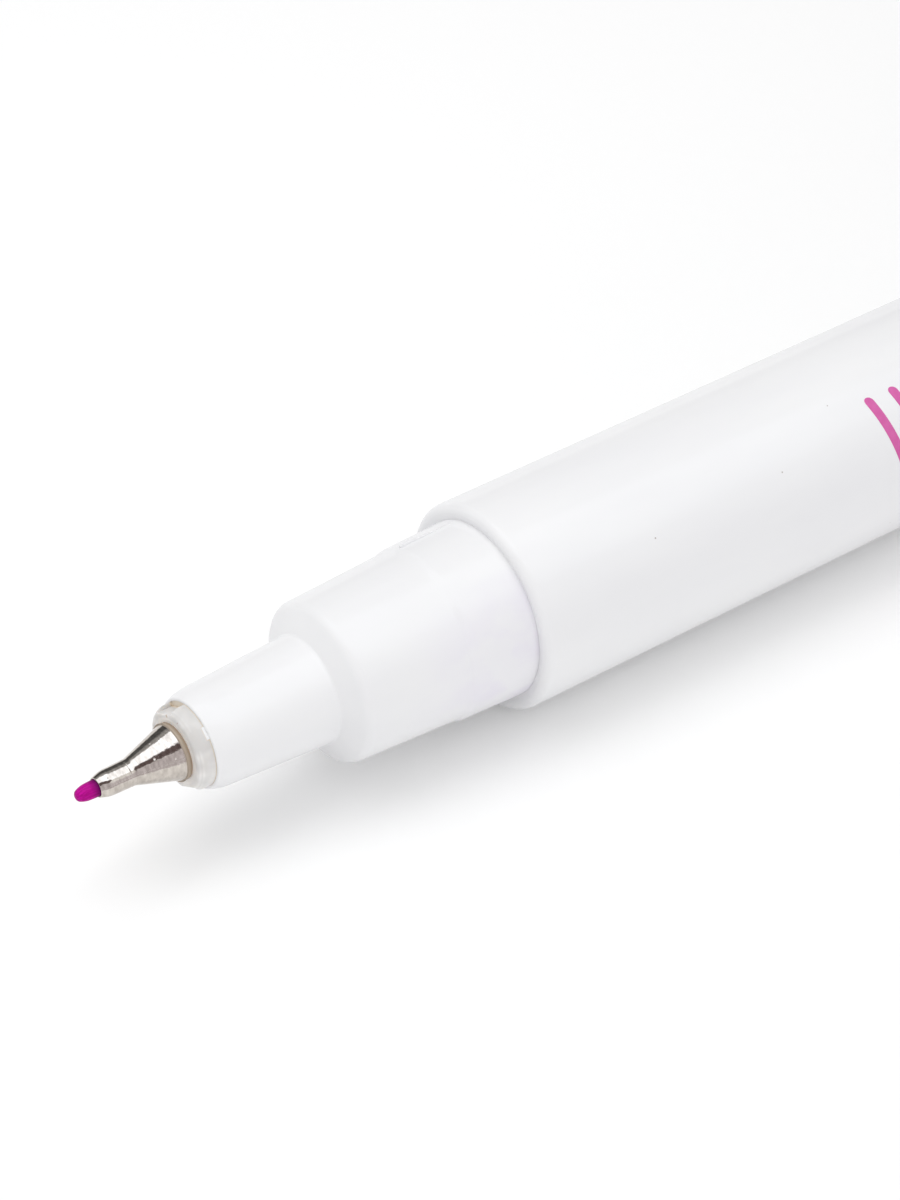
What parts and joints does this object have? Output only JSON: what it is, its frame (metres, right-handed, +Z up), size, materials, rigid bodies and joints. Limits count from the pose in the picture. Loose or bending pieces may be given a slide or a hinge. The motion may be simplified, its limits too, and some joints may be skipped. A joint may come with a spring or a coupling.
{
  "type": "fine-tip fabric marker",
  "caption": "Slim fabric marker with a metal-sheathed fine nib, stepped white nose and white barrel, its clip cap pushed on the tail.",
  "frame": {"origin": "on the table, under the middle of the whole pen's box; the pen lies on its barrel with the cap's clip beside it touching the table", "axes": "+X along the pen from the nib to the tail, +Z up; the clip leans to the -Y side"},
  "size_m": [0.1536, 0.0122, 0.01],
  "materials": {
    "white_plastic": "moulded white polypropylene, satin",
    "sleeve_plastic": "milky translucent polyethylene",
    "ink_plastic": "moulded magenta polypropylene",
    "seal_plastic": "soft natural polyethylene",
    "nickel_plate": "turned brass, bright nickel plate",
    "inked_fibre": "bonded fibre soaked with magenta ink",
    "clear_film": "thin clear wrapping film"
  },
  "bodies": {
    "pen": {"nib": "inked_fibre", "metal_tip": "nickel_plate", "tip_sleeve": "sleeve_plastic", "nose_section": "white_plastic", "wick": "inked_fibre", "ink_reservoir": "inked_fibre", "reservoir_film": "clear_film", "barrel": "white_plastic", "tail_plug": "ink_plastic"},
    "cap": {"cap_shell": "ink_plastic", "cap_seal": "seal_plastic", "cap_end_plug": "ink_plastic"}
  },
  "joints": [
    {"name": "cap_slide", "type": "slide", "parent": "pen", "child": "cap", "axis": [1, 0, 0], "range_m": [0, 0.02]}
  ]
}
